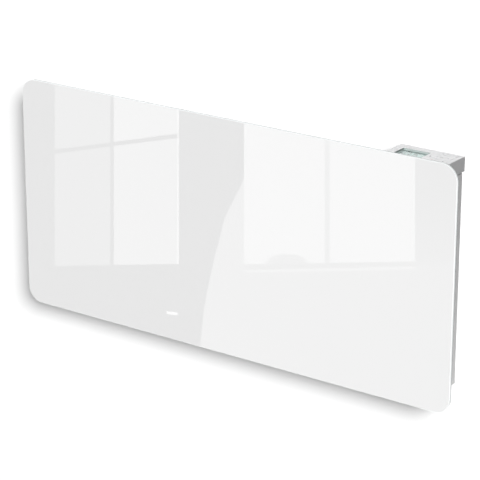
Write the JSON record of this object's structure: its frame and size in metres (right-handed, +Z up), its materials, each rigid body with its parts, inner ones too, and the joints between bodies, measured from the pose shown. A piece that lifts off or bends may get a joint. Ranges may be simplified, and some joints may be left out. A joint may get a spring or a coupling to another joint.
{
  "type": "electric inertia radiator",
  "caption": "Wall-hung electric inertia radiator: white glass panel with round corners over a shallow steel casing, with a display and keys on a control box behind its top corner.",
  "frame": {"origin": "centre of the wall bracket's four screw holes, on the wall plane", "axes": "+X right as seen from the room, +Y into the wall, +Z up; the glass faces -Y"},
  "size_m": [0.95, 0.086, 0.45],
  "materials": {
    "white_glass": "white-enamelled tempered glass, polished rim",
    "silicone": "moulded silicone",
    "painted_steel": "powder-coated steel sheet",
    "galvanised_steel": "galvanised sheet",
    "film": "laminated polyimide film",
    "mineral_mat": "needled mineral fibre",
    "fired_ceramic": "pressed and fired storage ceramic",
    "white_ceramic": "steatite",
    "stainless_sheath": "drawn stainless tube",
    "bright_aluminium": "rolled aluminium foil sheet",
    "zinc_steel": "zinc-plated steel",
    "brass": "stamped and turned brass",
    "grey_nylon": "moulded polyamide",
    "white_nylon": "moulded polyamide",
    "white_abs": "moulded ABS, fine texture",
    "black_plastic": "moulded thermoset",
    "board_laminate": "lacquered glass laminate",
    "display_cell": "backlit liquid crystal cell",
    "clear_window": "clear acrylic",
    "brown_pvc": "insulated wire",
    "green_pvc": "insulated wire",
    "white_sleeve": "silicone-sleeved wire",
    "red_pvc": "insulated wire",
    "black_pvc": "insulated wire"
  },
  "bodies": {
    "radiator": {"glass_front_panel": "white_glass", "glass_bond_bead": "silicone", "front_tray": "galvanised_steel", "heating_film": "film", "film_terminals": "brass", "film_insulation": "mineral_mat", "rear_casing": "painted_steel", "casing_screws": "zinc_steel", "inertia_block_left": "fired_ceramic", "inertia_block_centre": "fired_ceramic", "inertia_block_right": "fired_ceramic", "heating_element": "stainless_sheath", "element_pins": "brass", "element_bushes": "white_ceramic", "lower_block_rail": "galvanised_steel", "upper_block_rail": "galvanised_steel", "rear_reflector": "bright_aluminium", "rail_screws": "zinc_steel", "rail_nuts": "zinc_steel", "thermal_cutout": "white_ceramic", "room_sensor": "zinc_steel", "sensor_bush": "silicone", "gland_body": "grey_nylon", "gland_lock_nut": "grey_nylon", "gland_cap": "grey_nylon", "terminal_block": "white_nylon", "terminal_screws": "brass", "earth_stud": "zinc_steel", "earth_tag": "brass", "earth_nut": "zinc_steel", "control_gasket": "silicone", "control_base": "white_abs", "control_cover": "white_abs", "control_screws": "zinc_steel", "control_board": "board_laminate", "board_screws": "zinc_steel", "relay": "black_plastic", "wire_connector": "white_nylon", "push_switches": "black_plastic", "display_module": "display_cell", "display_window": "clear_window", "light_guide": "clear_window", "wire_grommet": "silicone", "supply_wires": "brown_pvc", "earth_wire": "green_pvc", "element_wires": "white_sleeve", "film_wires": "red_pvc", "sensor_wire": "black_pvc", "wall_bracket": "painted_steel", "latch_rivets": "zinc_steel"},
    "key_menu": {"key_menu": "white_abs"},
    "key_standby": {"key_standby": "white_abs"},
    "key_back": {"key_back": "white_abs"},
    "key_up": {"key_up": "white_abs"},
    "key_mode": {"key_mode": "white_abs"},
    "key_down": {"key_down": "white_abs"},
    "left_latch": {"left_latch": "zinc_steel"},
    "right_latch": {"right_latch": "zinc_steel"}
  },
  "joints": [
    {"name": "key_menu_press", "type": "slide", "parent": "radiator", "child": "key_menu", "axis": [0, 0, -1], "range_m": [0, 0.0005], "stiffness_N_per_m": 1500},
    {"name": "key_standby_press", "type": "slide", "parent": "radiator", "child": "key_standby", "axis": [0, 0, -1], "range_m": [0, 0.0005], "stiffness_N_per_m": 1500},
    {"name": "key_back_press", "type": "slide", "parent": "radiator", "child": "key_back", "axis": [0, 0, -1], "range_m": [0, 0.0005], "stiffness_N_per_m": 1500},
    {"name": "key_up_press", "type": "slide", "parent": "radiator", "child": "key_up", "axis": [0, 0, -1], "range_m": [0, 0.0005], "stiffness_N_per_m": 1500},
    {"name": "key_mode_press", "type": "slide", "parent": "radiator", "child": "key_mode", "axis": [0, 0, -1], "range_m": [0, 0.0005], "stiffness_N_per_m": 1500},
    {"name": "key_down_press", "type": "slide", "parent": "radiator", "child": "key_down", "axis": [0, 0, -1], "range_m": [0, 0.0005], "stiffness_N_per_m": 1500},
    {"name": "left_latch_turn", "type": "hinge", "parent": "radiator", "child": "left_latch", "pos_m": [-0.25, -0.013, 0.1733], "axis": [0, 0, 1], "range_deg": [0, 75]},
    {"name": "right_latch_turn", "type": "hinge", "parent": "radiator", "child": "right_latch", "pos_m": [0.25, -0.013, 0.1733], "axis": [0, 0, 1], "range_deg": [-75, 0]}
  ]
}
